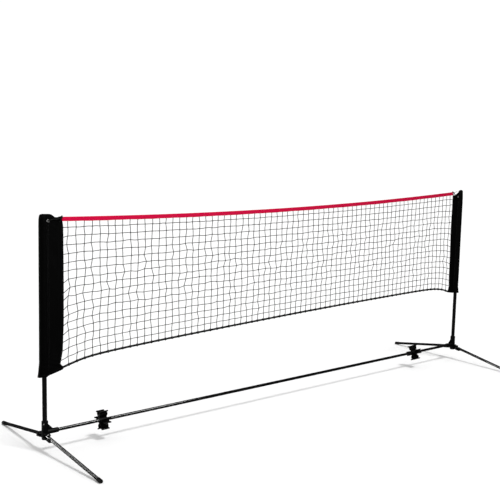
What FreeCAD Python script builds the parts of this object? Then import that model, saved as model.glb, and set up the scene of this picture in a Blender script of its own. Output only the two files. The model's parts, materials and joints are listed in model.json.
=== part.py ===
"""Portable badminton net on a folding base.

Frame: millimetres, origin on the floor midway between the two hubs, +X along the net towards the
right hub, +Y towards the rear legs, +Z up.

Two moulded hubs are joined by a sectional ground bar. Each hub carries a vertical pole and two legs that
swing inboard about tilted rivets. A mast telescopes in each pole, and the masts, the sleeves, the tape, the
netting and the bottom cord go up and down together. Two storage clips turn on the bar.
"""
import FreeCAD
import Part
import Sketcher
import math
import os
import re

Vector = FreeCAD.Vector
doc = FreeCAD.newDocument("BadmintonNet")

# ---------------------------------------------------------------- driving dimensions

DIMENSIONS = [
    # hubs
    ("hub_spacing", 3000), ("collar_radius", 15.5), ("collar_floor", 62), ("collar_top", 150),
    ("collar_round", 1.5), ("socket_radius", 12), ("socket_reach", 68), ("socket_depth_start", 16),
    ("gusset_width", 8), ("gusset_high", 134), ("gusset_out", 42), ("gusset_sink", 1), ("fit_gap", 0.05),
    # fixed poles, masts and their twist locks
    ("pole_radius", 11), ("pole_bore", 9.8), ("pole_foot", 76), ("pole_top", 790),
    ("mast_radius", 9.72), ("mast_bore", 8.7), ("mast_foot", 210), ("mast_top", 1106),
    ("cap_radius", 11), ("cap_thick", 5), ("cap_plug", 22), ("cap_bevel", 1.5), ("cap_fit", 0.02),
    ("cap_taper", 0.8), ("cap_lead", 2),
    ("lock_low", 773), ("lock_high", 802), ("collet_radius", 12.6), ("collet_bore", 9.82),
    ("twist_bore", 12.68), ("twist_radius", 14.4), ("twist_lip_bore", 10.2), ("twist_lip", 2.5),
    ("twist_lift", 3), ("twist_bevel", 1.2), ("slide_gap", 0.1),
    ("grip_depth", 0.6), ("grip_width", 2), ("grip_root", 0.5), ("grip_foot", 6), ("grip_height", 20),
    # ground bar
    ("bar_radius", 8), ("bar_bore", 6.8), ("bar_height", 96), ("bar_joint", 716),
    ("ferrule_radius", 6.75), ("ferrule_bore", 5.6), ("ferrule_half", 45),
    # snap buttons and their leaf springs
    ("button_radius", 3), ("button_hole", 3.06), ("button_inner", 4.6), ("button_dome", 1.2),
    ("button_crown", 1.8), ("button_proud", 1.6), ("button_offset", 22), ("socket_button_at", 58),
    ("pole_button_height", 139), ("pole_button_turn", 225),
    ("leaf_width", 4), ("leaf_thick", 0.5), ("leaf_pad", 6), ("leaf_crotch", 20), ("leaf_nose", 25),
    ("leaf_gap", 0.5),
    # legs
    ("pivot_out", 33), ("pivot_height", 80), ("leg_slope", 9.1), ("leg_toe_in", 2), ("leg_length", 450),
    ("leg_radius", 8), ("leg_bore", 6.8), ("leg_inner_end", 9), ("plug_radius", 6.78), ("plug_end", 14),
    ("rivet_radius", 2.5), ("rivet_hole", 2.55), ("rivet_head", 4.5), ("rivet_head_thick", 1.6),
    ("plate_gap", 8.6), ("plate_thick", 4), ("plate_half", 12.3), ("plate_root", 24), ("plate_tip", 32),
    ("ear_radius", 11), ("stop_start", 14), ("stop_face", 8.3),
    ("foot_radius", 9.4), ("foot_sleeve", 20), ("foot_end", 9), ("foot_round", 3), ("foot_bore", 8.02),
    ("groove_radius", 1), ("groove_depth", 0.6),
    # storage clips
    ("clip_left_at", -1190), ("clip_right_at", 1108), ("clip_tilt_left", 10), ("clip_tilt_right", 22),
    ("clip_width", 42), ("clip_hub", 12.5), ("clip_bore", 8.08), ("clip_wall", 3),
    ("pole_seat", 11.3), ("pole_seat_at", 30), ("pole_mouth", 9.2),
    ("leg_seat", 8.2), ("leg_seat_at", 33), ("leg_mouth", 6.8), ("clip_web", 5),
    ("pole_lip", 10), ("leg_lip", 5), ("pole_bead", 3.5), ("leg_bead", 2.5),
    ("pole_flare", 62), ("leg_flare", 40), ("lip_root", 1), ("mouth_reach", 40),
    # net, sleeves, tape, cord and ties
    ("sleeve_radius", 18.6), ("sleeve_bore", 17), ("sleeve_flap", 1.5), ("sleeve_top", 1112),
    ("sleeve_lid", 2), ("flap_top", 1100), ("net_left", -1405), ("net_right", 1424),
    ("sleeve_left_bottom", 363), ("sleeve_right_bottom", 446), ("flap_rise", 12),
    ("tape_half", 10.5), ("tape_thick", 2.4), ("tape_left", 1091), ("tape_middle", 1070),
    ("tape_right", 1108), ("netting_thick", 2), ("netting_gap", 0.5), ("cord_radius", 5.2),
    ("eyelet_in", 25.5), ("eyelet_drop", 13.5), ("eyelet_bore", 4), ("eyelet_barrel", 4.6),
    ("eyelet_rim", 6.5),
    ("eyelet_rim_thick", 0.8), ("knot_radius", 6), ("tie_radius", 2), ("tie_front", 9),
    # how far cutting tools run past the faces they open
    ("overcut", 5),
]
GRIP_COUNT = 14

dims = doc.addObject("Spreadsheet::Sheet", "Dims")
for row, (alias, value) in enumerate(DIMENSIONS, start=1):
    dims.set(f"A{row}", alias)
    dims.set(f"B{row}", str(value))
    dims.setAlias(f"B{row}", alias)
doc.recompute()
SIZE = {alias: float(dims.get(alias)) for alias, _ in DIMENSIONS}


def formula(text):
    """A sheet expression: every alias in text is read from the sheet."""
    return re.sub(r"[a-z][a-z_]+", lambda word: f"Dims.{word.group(0)}" if word.group(0) in SIZE
                  else word.group(0), str(text))


def number(text):
    """The value of such an expression."""
    result = dims.evalExpression(formula(text))
    return float(getattr(result, "Value", result))


# ---------------------------------------------------------------- building helpers

nodes = []


def keep(label, shape_object, placement=None):
    """Name a finished sub-part and put it in its place."""
    shape_object.Label = label
    if placement is not None:
        shape_object.Placement = placement
    nodes.append(shape_object)
    return shape_object


def primitive(kind, placement=None, **sizes):
    """A Part primitive whose sizes are bound to the sheet."""
    solid = doc.addObject(kind, "Shape")
    for size, text in sizes.items():
        solid.setExpression(size, formula(text))
    if placement is not None:
        solid.Placement = placement
    return solid


def cylinder(radius, height, placement=None):
    return primitive("Part::Cylinder", placement, Radius=radius, Height=height)


def box(low, high, placement=None):
    """A box between two corners, each given as three expressions, and then moved by a placement."""
    solid = doc.addObject("Part::Box", "Shape")
    for size, start, end in zip(("Length", "Width", "Height"), low, high):
        solid.setExpression(size, formula(f"({end}) - ({start})"))
    solid.Placement = (placement or FreeCAD.Placement()) * at(*low)
    return solid


BOTTOM_RIM, TOP_RIM = 2, 3


def rounded(solid, edge_numbers, radius):
    """A cylinder with its bottom or top rim rounded."""
    doc.recompute()
    fillet = doc.addObject("Part::Fillet", "Shape")
    fillet.Base = solid
    fillet.Edges = [(edge, number(radius), number(radius)) for edge in edge_numbers]
    return fillet


def fuse(*solids):
    joined = doc.addObject("Part::MultiFuse", "Shape")
    joined.Shapes = list(solids)
    joined.Refine = True
    return joined


def cut(solid, *tools):
    result = doc.addObject("Part::Cut", "Shape")
    result.Base = solid
    result.Tool = tools[0] if len(tools) == 1 else fuse(*tools)
    return result


def at(x=0, y=0, z=0, axis=(0, 0, 1), angle=0):
    """A placement from a point and a turn in degrees about an axis; the point may hold expressions."""
    point = Vector(*(number(side) for side in (x, y, z)))
    return FreeCAD.Placement(point, FreeCAD.Rotation(Vector(*axis), number(angle)))


ALONG_X = at(axis=(0, 1, 0), angle=90)


def new_body():
    return doc.addObject("PartDesign::Body", "Body")


def sketch_on(body, role):
    """A sketch on one of the body's own origin planes."""
    plane = [part for part in body.Origin.OriginFeatures if part.Role == role][0]
    sketch = body.newObject("Sketcher::SketchObject", "Sketch")
    sketch.AttachmentSupport = [(plane, "")]
    sketch.MapMode = "FlatFace"
    return sketch


def outline(sketch, corners):
    """A closed outline of straight edges, every corner bound to the sheet."""
    points = [Vector(number(x), number(y), 0) for x, y in corners]
    first = sketch.GeometryCount
    count = len(points)
    for index, point in enumerate(points):
        sketch.addGeometry(Part.LineSegment(point, points[(index + 1) % count]), False)
    for index, (corner, point) in enumerate(zip(corners, points)):
        edge = first + index
        following = first + (index + 1) % count
        sketch.addConstraint(Sketcher.Constraint("Coincident", edge, 2, following, 1))
        for kind, text, value in (("DistanceX", corner[0], point.x), ("DistanceY", corner[1], point.y)):
            row = sketch.addConstraint(Sketcher.Constraint(kind, -1, 1, edge, 1, value))
            sketch.setExpression(f"Constraints[{row}]", formula(text))


def circle(sketch, radius, x="0", y="0"):
    """A circle about the sketch's origin, or about a point on it, bound to the sheet."""
    centre = Vector(number(x), number(y), 0)
    edge = sketch.addGeometry(Part.Circle(centre, Vector(0, 0, 1), number(radius)), False)
    rules = [("Radius", (edge,), radius, number(radius)), ("DistanceX", (-1, 1, edge, 3), x, centre.x),
             ("DistanceY", (-1, 1, edge, 3), y, centre.y)]
    for kind, where, text, value in rules:
        row = sketch.addConstraint(Sketcher.Constraint(kind, *where, value))
        sketch.setExpression(f"Constraints[{row}]", formula(text))


def pad(body, sketch, length, midplane=False):
    feature = body.newObject("PartDesign::Pad", "Pad")
    feature.Profile = sketch
    feature.Midplane = midplane
    feature.setExpression("Length", formula(length))
    body.Tip = feature
    return feature


def revolution(body, sketch):
    """A full turn about the sketch's vertical axis."""
    feature = body.newObject("PartDesign::Revolution", "Revolution")
    feature.Profile = sketch
    feature.ReferenceAxis = (sketch, ["V_Axis"])
    feature.Angle = 360
    body.Tip = feature
    return feature


def turned(corners):
    """A body turned about Z from a profile of (radius, height) corners."""
    body = new_body()
    sketch = sketch_on(body, "XZ_Plane")
    outline(sketch, corners)
    revolution(body, sketch)
    return body


def tube(outer, inner, length):
    """A round tube from the origin up Z."""
    body = new_body()
    sketch = sketch_on(body, "XY_Plane")
    circle(sketch, outer)
    circle(sketch, inner)
    pad(body, sketch, length)
    return body


# ---------------------------------------------------------------- places

SIDES = ("left", "right")


def hub_place(side):
    """Hub coordinates: the pole's axis is Z and the ground bar leaves along +X."""
    if side == "left":
        return at("-hub_spacing / 2")
    return at("hub_spacing / 2", angle=180)


def clevis_turn(sign):
    """A clevis in hub coordinates, at positive y or, with sign "-", at negative y."""
    turn = at(0, f"{sign}pivot_out", "pivot_height", angle=f"{sign}(90 - leg_toe_in)")
    return turn * at(axis=(0, 1, 0), angle="leg_slope")


def leg_place(side, end):
    """Leg coordinates: the rivet's axis is Z and the leg lies along +X."""
    turned_back = (end == "rear") != (side == "left")
    return hub_place(side) * clevis_turn("-" if turned_back else "")


# ---------------------------------------------------------------- hubs

def clevis(sign):
    """Bottom plate, short top plate and outboard stop wall; the inboard side stays open for the swing."""
    top = "plate_gap + plate_thick"
    floor_plate = box(("-plate_root", "-plate_half", f"-({top})"), ("plate_tip", "plate_half", "-plate_gap"))
    ear = box(("-plate_root", "-ear_radius", "plate_gap"), ("0", "ear_radius", top))
    ear_end = cylinder("ear_radius", "plate_thick", at(z="plate_gap"))
    near, far = ("stop_face", "plate_half") if sign == "" else ("-plate_half", "-stop_face")
    wall = box(("stop_start", near, f"-({top})"), ("plate_tip", far, "stop_face / 2"))
    joined = fuse(floor_plate, ear, ear_end, wall)
    joined.Placement = clevis_turn(sign)
    return joined


def make_hub(side):
    collar = rounded(cylinder("collar_radius", "collar_top - collar_floor", at(z="collar_floor")),
                     (BOTTOM_RIM, TOP_RIM), "collar_round")
    socket = rounded(cylinder("socket_radius", "socket_reach", at(z="bar_height") * ALONG_X),
                     (TOP_RIM,), "collar_round")
    gusset_body = new_body()
    sketch = sketch_on(gusset_body, "XZ_Plane")
    outline(sketch, [("0", "bar_height"), ("gusset_out", "bar_height"),
                     ("gusset_out", "bar_height + socket_radius - gusset_sink"),
                     ("collar_radius", "gusset_high"), ("0", "gusset_high")])
    pad(gusset_body, sketch, "gusset_width", midplane=True)
    pole_hole = cylinder("pole_radius + fit_gap", "collar_top - pole_foot + overcut", at(z="pole_foot"))
    bar_hole = cylinder("bar_radius + fit_gap", "socket_reach",
                        at("socket_depth_start", 0, "bar_height") * ALONG_X)
    holes = [pole_hole, bar_hole]
    for sign in ("", "-"):
        reach = "plate_gap + plate_thick + overcut"
        holes.append(cylinder("rivet_hole", f"2 * ({reach})", clevis_turn(sign) * at(z=f"-({reach})")))
    holes.append(cylinder("button_hole", "2 * socket_radius", at("socket_button_at", 0, "bar_height")))
    outward = at(z="pole_button_height", angle="pole_button_turn") * ALONG_X
    holes.append(cylinder("button_hole", "2 * collar_radius", outward))
    keep(f"hub_{side}", cut(fuse(collar, socket, gusset_body, clevis(""), clevis("-")), *holes),
         hub_place(side))


def make_rivets(side):
    """The two leg pivot rivets of a hub, with heads above and below the clevis."""
    rivets = []
    for sign in ("", "-"):
        grip = "plate_gap + plate_thick"
        shank = cylinder("rivet_radius", f"2 * ({grip})", at(z=f"-({grip})"))
        top_head = cylinder("rivet_head", "rivet_head_thick", at(z=grip))
        bottom_head = cylinder("rivet_head", "rivet_head_thick", at(z=f"-({grip} + rivet_head_thick)"))
        rivet = fuse(shank, rounded(top_head, (TOP_RIM,), "rivet_head_thick / 2"), bottom_head)
        rivet.Placement = clevis_turn(sign)
        rivets.append(rivet)
    pair = doc.addObject("Part::Compound", "Shape")
    pair.Links = rivets
    keep(f"leg_rivets_{side}", pair, hub_place(side))


# ---------------------------------------------------------------- snap buttons

def make_button(label, top, placement):
    """A round button with a domed head, standing on the bore's spring; +Z is the way it pops out."""
    body = turned([("0", "button_inner"), ("button_radius", "button_inner"),
                   ("button_radius", f"{top} - button_dome"), ("button_crown", f"{top} - button_dome / 4"),
                   ("0", top)])
    keep(label, body, placement)


def make_leaf(label, back, placement):
    """A folded leaf spring: one arm under the button, the other on the far wall of the bore."""
    body = new_body()
    sketch = sketch_on(body, "XZ_Plane")
    outline(sketch, [("-leaf_pad", "button_inner - leaf_thick"), ("leaf_crotch", "0"),
                     ("-leaf_pad", f"-({back})"), ("leaf_pad", f"-({back})"), ("leaf_nose", "-leaf_thick"),
                     ("leaf_nose", "leaf_thick"), ("leaf_pad", "button_inner"),
                     ("-leaf_pad", "button_inner")])
    pad(body, sketch, "leaf_width", midplane=True)
    keep(label, body, placement)


def make_hub_buttons(side):
    socket_spot = hub_place(side) * at("socket_button_at", 0, "bar_height")
    make_button(f"socket_button_{side}", "socket_radius + button_proud", socket_spot)
    make_leaf(f"socket_spring_{side}", "bar_bore - leaf_gap", socket_spot)
    pole_spot = hub_place(side) * at(z="pole_button_height", angle="pole_button_turn") * ALONG_X
    make_button(f"pole_button_{side}", "collar_radius + button_proud", pole_spot)
    make_leaf(f"pole_spring_{side}", "pole_bore - leaf_gap", pole_spot)


# ---------------------------------------------------------------- poles, masts and twist locks

def make_pole(side):
    pole = tube("pole_radius", "pole_bore", "pole_top - pole_foot")
    hole = cylinder("button_hole", "2 * pole_radius",
                    at(z="pole_button_height - pole_foot", angle="pole_button_turn") * ALONG_X)
    keep(f"lower_pole_{side}", cut(pole, hole), hub_place(side) * at(z="pole_foot"))


def make_lock(side):
    """A collet fixed on the pole's top and a ribbed collar that turns on it."""
    collet = turned([("pole_radius", "lock_low"), ("collet_radius", "lock_low"),
                     ("collet_radius", "lock_high"), ("collet_bore", "lock_high"),
                     ("collet_bore", "pole_top"), ("pole_radius", "pole_top")])
    keep(f"lock_collet_{side}", collet, hub_place(side))

    low, high = "lock_low + twist_lift", "lock_high + slide_gap"
    top = f"{high} + twist_lip"
    collar = turned([("twist_bore", low), ("twist_radius - twist_bevel", low),
                     ("twist_radius", f"{low} + twist_bevel"), ("twist_radius", f"{top} - twist_bevel"),
                     ("twist_radius - twist_bevel", top), ("twist_lip_bore", top),
                     ("twist_lip_bore", high), ("twist_bore", high)])
    grip_sketch = sketch_on(collar, "XY_Plane")
    grip_sketch.AttachmentOffset = at(z="lock_low + grip_foot")
    outline(grip_sketch, [("twist_radius - grip_root", "-grip_width / 2"),
                          ("twist_radius + grip_depth", "-grip_width / 3"),
                          ("twist_radius + grip_depth", "grip_width / 3"),
                          ("twist_radius - grip_root", "grip_width / 2")])
    grip = pad(collar, grip_sketch, "grip_height")
    around = collar.newObject("PartDesign::PolarPattern", "Grips")
    around.Originals = [grip]
    around.Axis = (grip_sketch, ["N_Axis"])
    around.Angle = 360
    around.Occurrences = GRIP_COUNT
    collar.Tip = around
    keep(f"lock_collar_{side}", collar, hub_place(side))


def make_mast(side):
    keep(f"upper_pole_{side}", tube("mast_radius", "mast_bore", "mast_top - mast_foot"),
         hub_place(side) * at(z="mast_foot"))
    cap = turned([("0", "-cap_plug"), ("mast_bore - cap_taper", "-cap_plug"),
                  ("mast_bore - cap_fit", "cap_lead - cap_plug"), ("mast_bore - cap_fit", "0"),
                  ("cap_radius", "0"), ("cap_radius", "cap_thick - cap_bevel"),
                  ("cap_radius - cap_bevel", "cap_thick"), ("0", "cap_thick")])
    keep(f"mast_cap_{side}", cap, hub_place(side) * at(z="mast_top"))


# ---------------------------------------------------------------- ground bar

BAR_ENDS = ["socket_depth_start + 1 - hub_spacing / 2", "-bar_joint", "0", "bar_joint",
            "hub_spacing / 2 - socket_depth_start - 1"]


def upward_hole(where):
    """A button hole through the upper wall of the bar at a given x."""
    return cylinder("button_hole", "bar_radius + 1", at(where, 0, "bar_height"))


def make_bar():
    hub_button = "hub_spacing / 2 - socket_button_at"
    for index in range(4):
        start, finish = BAR_ENDS[index:index + 2]
        section = tube("bar_radius", "bar_bore", f"({finish}) - ({start})")
        section.Placement = at(start, 0, "bar_height") * ALONG_X
        holes = []
        if index == 0:
            holes.append(upward_hole(f"-({hub_button})"))
        else:
            holes.append(upward_hole(f"{start} + button_offset"))
        if index == 3:
            holes.append(upward_hole(hub_button))
        keep(f"bar_section_{index + 1}", cut(section, *holes))
    for index in range(1, 4):
        joint = BAR_ENDS[index]
        ferrule = tube("ferrule_radius", "ferrule_bore", "2 * ferrule_half")
        ferrule.Placement = at(f"{joint} - ferrule_half", 0, "bar_height") * ALONG_X
        spot = at(f"{joint} + button_offset", 0, "bar_height")
        keep(f"bar_ferrule_{index}", cut(ferrule, upward_hole(f"{joint} + button_offset")))
        make_button(f"bar_button_{index}", "bar_radius + button_proud", spot)
        make_leaf(f"bar_spring_{index}", "ferrule_bore - leaf_gap", spot * at(angle=180))


# ---------------------------------------------------------------- legs

def rivet_hole():
    return cylinder("rivet_hole", "4 * leg_radius", at(z="-2 * leg_radius"))


GROOVE_STEPS = (5, 10, 15)


def make_leg(side, end):
    place = leg_place(side, end)
    shank = tube("leg_radius", "leg_bore", "leg_length + leg_inner_end")
    shank.Placement = at("-leg_inner_end") * ALONG_X
    keep(f"leg_tube_{end}_{side}", cut(shank, rivet_hole()), place)

    plug = cylinder("plug_radius", "leg_inner_end + plug_end", at("-leg_inner_end") * ALONG_X)
    keep(f"leg_pivot_plug_{end}_{side}", cut(plug, rivet_hole()), place)

    outer = cylinder("foot_radius", "foot_sleeve + foot_end", at("leg_length - foot_sleeve") * ALONG_X)
    tip_edge = rounded(outer, (TOP_RIM,), "foot_round")
    socket = cylinder("foot_bore", "foot_sleeve", at("leg_length - foot_sleeve") * ALONG_X)
    level = at(axis=(0, 1, 0), angle="-leg_slope") * at(z="-pivot_height")
    floor = box(("leg_length - 2 * foot_sleeve", "-2 * foot_radius", "-2 * foot_radius"),
                ("leg_length + foot_sleeve", "2 * foot_radius", "0"), level)
    grooves = []
    for step in GROOVE_STEPS:
        ring = at(f"leg_length - foot_sleeve + {step}") * ALONG_X
        grooves.append(primitive("Part::Torus", ring, Radius1="foot_radius + groove_radius - groove_depth",
                                 Radius2="groove_radius"))
    keep(f"foot_cap_{end}_{side}", cut(tip_edge, socket, floor, *grooves), place)


# ---------------------------------------------------------------- storage clips

def seat(radius, centre, mouth, lip, bead, splay, turn):
    """One open C of the clip on its neck: the solid and the tools that open it."""
    reach = f"{radius} + clip_wall"
    ring = cylinder(reach, "clip_width", turn * at(z=centre, x="-clip_width / 2") * ALONG_X)
    neck = box(("-clip_width / 2", "-clip_web", "0"), ("clip_width / 2", "clip_web", f"{centre} - {radius}"),
               turn)
    lips = []
    for sign in (1, -1):
        rise = f"{centre} + sqrt(({radius} + clip_wall / 2) ^ 2 - {mouth} ^ 2) - lip_root"
        flare = at(0, f"{sign} * ({mouth} + clip_wall / 2)", rise, (1, 0, 0), f"-{sign} * {splay}")
        lips.append(box(("-clip_width / 2", "-clip_wall / 2", "0"),
                        ("clip_width / 2", "clip_wall / 2", lip), turn * flare))
        lips.append(cylinder(bead, "clip_width", turn * flare * at("-clip_width / 2", 0, lip) * ALONG_X))
    bore = cylinder(radius, "clip_width + 2 * overcut",
                    turn * at(z=centre, x="-clip_width / 2 - overcut") * ALONG_X)
    gap = box(("-clip_width", f"-{mouth}", centre), ("clip_width", mouth, f"{centre} + mouth_reach"), turn)
    return [ring, neck, *lips], [bore, gap]


POLE_SEAT = ("pole_seat", "pole_seat_at", "pole_mouth", "pole_lip", "pole_bead", "pole_flare")
LEG_SEAT = ("leg_seat", "leg_seat_at", "leg_mouth", "leg_lip", "leg_bead", "leg_flare")


def make_clip(side):
    """Four open seats round a ring that turns on the bar; the tall seats hold poles, the side ones legs."""
    solids = [cylinder("clip_hub", "clip_width", at("-clip_width / 2") * ALONG_X)]
    tools = [cylinder("clip_bore", "clip_width + 2 * overcut", at("-clip_width / 2 - overcut") * ALONG_X)]
    for quarter, kind in enumerate((POLE_SEAT, LEG_SEAT, POLE_SEAT, LEG_SEAT)):
        more, open_up = seat(*kind, at(axis=(1, 0, 0), angle=90 * quarter))
        solids += more
        tools += open_up
    place = at(f"clip_{side}_at", 0, "bar_height") * at(axis=(1, 0, 0), angle=f"-clip_tilt_{side}")
    keep(f"storage_clip_{side}", cut(fuse(*solids), *tools), place)


# ---------------------------------------------------------------- sleeves and eyelets

def make_sleeve(side):
    """A closed-top channel round the pole, with a flap that runs in to the net."""
    bottom = f"sleeve_{side}_bottom"
    reach = "net_left + hub_spacing / 2" if side == "left" else "hub_spacing / 2 - net_right"
    skin = cylinder("sleeve_radius", f"sleeve_top + sleeve_lid - {bottom}", at(z=bottom))
    flap = box(("sleeve_bore", "-sleeve_flap", f"{bottom} + flap_rise"), (reach, "sleeve_flap", "flap_top"))
    channel = cylinder("sleeve_bore", f"sleeve_top - {bottom} + overcut", at(z=f"{bottom} - overcut"))
    eyelet_hole = cylinder("eyelet_barrel", "2 * overcut",
                           at("eyelet_in", "overcut", "flap_top - eyelet_drop", (1, 0, 0), 90))
    keep(f"net_sleeve_{side}", cut(fuse(skin, flap), channel, eyelet_hole), hub_place(side))

    half = "sleeve_flap"
    rim = "sleeve_flap + eyelet_rim_thick"
    eyelet = turned([("eyelet_bore", f"-({rim})"), ("eyelet_rim", f"-({rim})"), ("eyelet_rim", f"-{half}"),
                     ("eyelet_barrel", f"-{half}"), ("eyelet_barrel", half), ("eyelet_rim", half),
                     ("eyelet_rim", rim), ("eyelet_bore", rim)])
    keep(f"eyelet_{side}", eyelet,
         hub_place(side) * at("eyelet_in", 0, "flap_top - eyelet_drop", (1, 0, 0), 90))


# ---------------------------------------------------------------- tape, netting, cord and ties

def in_plane(x, z):
    return Vector(x, 0, z)


def sag(drop):
    """The arc of the net's sagging top edge, lowered by drop."""
    return Part.Arc(in_plane(SIZE["net_left"] + SIZE["netting_gap"], SIZE["tape_left"] - drop),
                    in_plane(0, SIZE["tape_middle"] - drop),
                    in_plane(SIZE["net_right"] - SIZE["netting_gap"], SIZE["tape_right"] - drop))


def slab(edges, thickness):
    """A flat solid of the given thickness, centred on the net's plane."""
    face = Part.Face(Part.Wire(Part.__sortEdges__(edges)))
    face.translate(Vector(0, -thickness / 2, 0))
    return face.extrude(Vector(0, thickness, 0))


def feature(label, shape, placement=None):
    """A sub-part whose shape comes from Part's own functions."""
    solid = doc.addObject("Part::Feature", "Shape")
    solid.Shape = shape
    keep(label, solid, placement or FreeCAD.Placement())


def make_tape():
    top, bottom = sag(-SIZE["tape_half"]), sag(SIZE["tape_half"])
    ends = [Part.makeLine(top.StartPoint, bottom.StartPoint), Part.makeLine(top.EndPoint, bottom.EndPoint)]
    feature("top_tape", slab([top.toShape(), bottom.toShape(), *ends], SIZE["tape_thick"]))


# The bottom cord's route in the net's plane: it rises from the sleeves and runs tight along the net.
CORD_ROUTE = [(-1402.5, 393.3), (-1352, 407), (-1290, 421), (-1205, 431), (-1070, 439), (-820, 449.5),
              (-440, 462), (60, 477), (560, 488), (940, 494), (1140, 496), (1255, 494.5), (1330, 487),
              (1386, 475.5), (1421, 461.6)]


BLEND_SHARE = 0.45


def blend_radius(run_in, run_out, turn):
    """The arc whose ends take up a set share of the shorter of two runs."""
    return BLEND_SHARE * min(run_in, run_out) / math.tan(turn / 2)


def routed_wire(points):
    """Straight runs joined by tangent arcs, and the radii of the arcs."""
    edges = []
    radii = []
    start = points[0]
    for before, corner, after in zip(points, points[1:], points[2:]):
        into, out = corner - before, after - corner
        turn = into.getAngle(out)
        radius = blend_radius(into.Length, out.Length, turn)
        radii.append(radius)
        setback = radius * math.tan(turn / 2)
        into.normalize()
        out.normalize()
        arc_start, arc_end = corner - into * setback, corner + out * setback
        inward = out - into
        inward.normalize()
        middle = corner + inward * (radius / math.cos(turn / 2) - radius)
        edges.append(Part.LineSegment(start, arc_start).toShape())
        edges.append(Part.Arc(arc_start, middle, arc_end).toShape())
        start = arc_end
    edges.append(Part.LineSegment(start, points[-1]).toShape())
    return Part.Wire(edges), radii


def routed_tube(name, points, radius):
    """A round cord along a route, checked against its section times its length."""
    wire, radii = routed_wire(points)
    direction = points[1] - points[0]
    ring = Part.Wire(Part.makeCircle(radius, points[0], direction))
    solid = wire.makePipeShell([ring], True, True)
    expected = math.pi * radius ** 2 * wire.Length
    print(f"{name}: length {wire.Length:.1f}, volume ratio {solid.Volume / expected:.4f}, radii "
          + " ".join(f"{value:.0f}" for value in radii))
    return solid


def make_bottom_cord():
    route = [in_plane(x, z) for x, z in CORD_ROUTE]
    feature("bottom_cord", routed_tube("bottom_cord", route, SIZE["cord_radius"]))


def make_netting():
    """The netting's plane area, from under the tape to over the cord."""
    top = sag(SIZE["tape_half"] + SIZE["netting_gap"])
    lift = SIZE["cord_radius"] + 3 * SIZE["netting_gap"]
    gap = SIZE["netting_gap"]
    first, last = CORD_ROUTE[0], CORD_ROUTE[-1]
    lower = [in_plane(first[0] + gap, first[1] + lift)]
    lower += [in_plane(x, z + lift) for x, z in CORD_ROUTE[1:-1]]
    lower.append(in_plane(last[0] - gap, last[1] + lift))
    start, finish = top.StartPoint, top.EndPoint
    edges = [top.toShape()]
    for a, b in zip([start] + lower, lower + [finish]):
        edges.append(Part.makeLine(a, b))
    feature("net_panel", slab(edges, SIZE["netting_thick"]))


# The laces at the tape's ends, from the knot: a tail into the sleeve's eyelet side and a loose end.
TIE_TAILS = {
    "left": ((-1411, 1099.5), [(-1424, 1101), (-1440, 1095)], [(-1413, 1089), (-1418, 1080)]),
    "right": ((1425, 1111), [(1440, 1118), (1458, 1121)], [(1419, 1119), (1409, 1124)]),
}


def make_tie(side):
    """A knot in front of the tape's end with its two loose ends."""
    knot_at, *tails = TIE_TAILS[side]
    front = -SIZE["tie_front"]
    centre = Vector(knot_at[0], front, knot_at[1])
    knot = Part.makeSphere(SIZE["knot_radius"], centre)
    for tail in tails:
        route = [centre] + [Vector(x, front, z) for x, z in tail]
        knot = knot.fuse(routed_tube(f"tie_{side}", route, SIZE["tie_radius"]))
    feature(f"tie_{side}", knot.removeSplitter())


# ---------------------------------------------------------------- assembly

make_bar()
for side in SIDES:
    make_hub(side)
    make_rivets(side)
    make_pole(side)
    make_hub_buttons(side)
    make_lock(side)
    make_mast(side)
    make_sleeve(side)
    make_tie(side)
    make_clip(side)
    for end in ("front", "rear"):
        make_leg(side, end)
make_tape()
make_netting()
make_bottom_cord()
doc.recompute()

for item in doc.Objects:
    if "Invalid" in item.State or "Error" in item.State:
        raise RuntimeError(f"{item.Name} ({item.Label}) failed: {item.State}")
for node in nodes:
    shape = node.Shape
    if shape.isNull() or not shape.isValid() or not shape.Solids or shape.Volume <= 0:
        raise RuntimeError(f"{node.Label} has no valid solid")
    bounds = shape.BoundBox
    print(f"{node.Label:28s} solids {len(shape.Solids)} volume {shape.Volume:10.1f}  "
          f"x {bounds.XMin:8.1f} {bounds.XMax:8.1f}  y {bounds.YMin:7.1f} {bounds.YMax:7.1f}  "
          f"z {bounds.ZMin:7.1f} {bounds.ZMax:7.1f}")

os.makedirs("parts", exist_ok=True)
for node in nodes:
    node.Shape.exportStep(f"parts/{node.Label}.step")
print(len(nodes), "nodes")
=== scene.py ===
"""Looks of the portable badminton net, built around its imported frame. Units are metres.

+X runs along the net to the right hub, +Y to the rear legs, +Z up. The tubes, hubs, clips, feet, locks,
buttons and eyelets are the frame's own nodes with better materials. The sleeves, the tape, the netting, the
cord and the ties are built here and stand for their plain solids.
"""
import bpy
import json
import math
import numpy as np
from mathutils import Matrix, Vector

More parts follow.
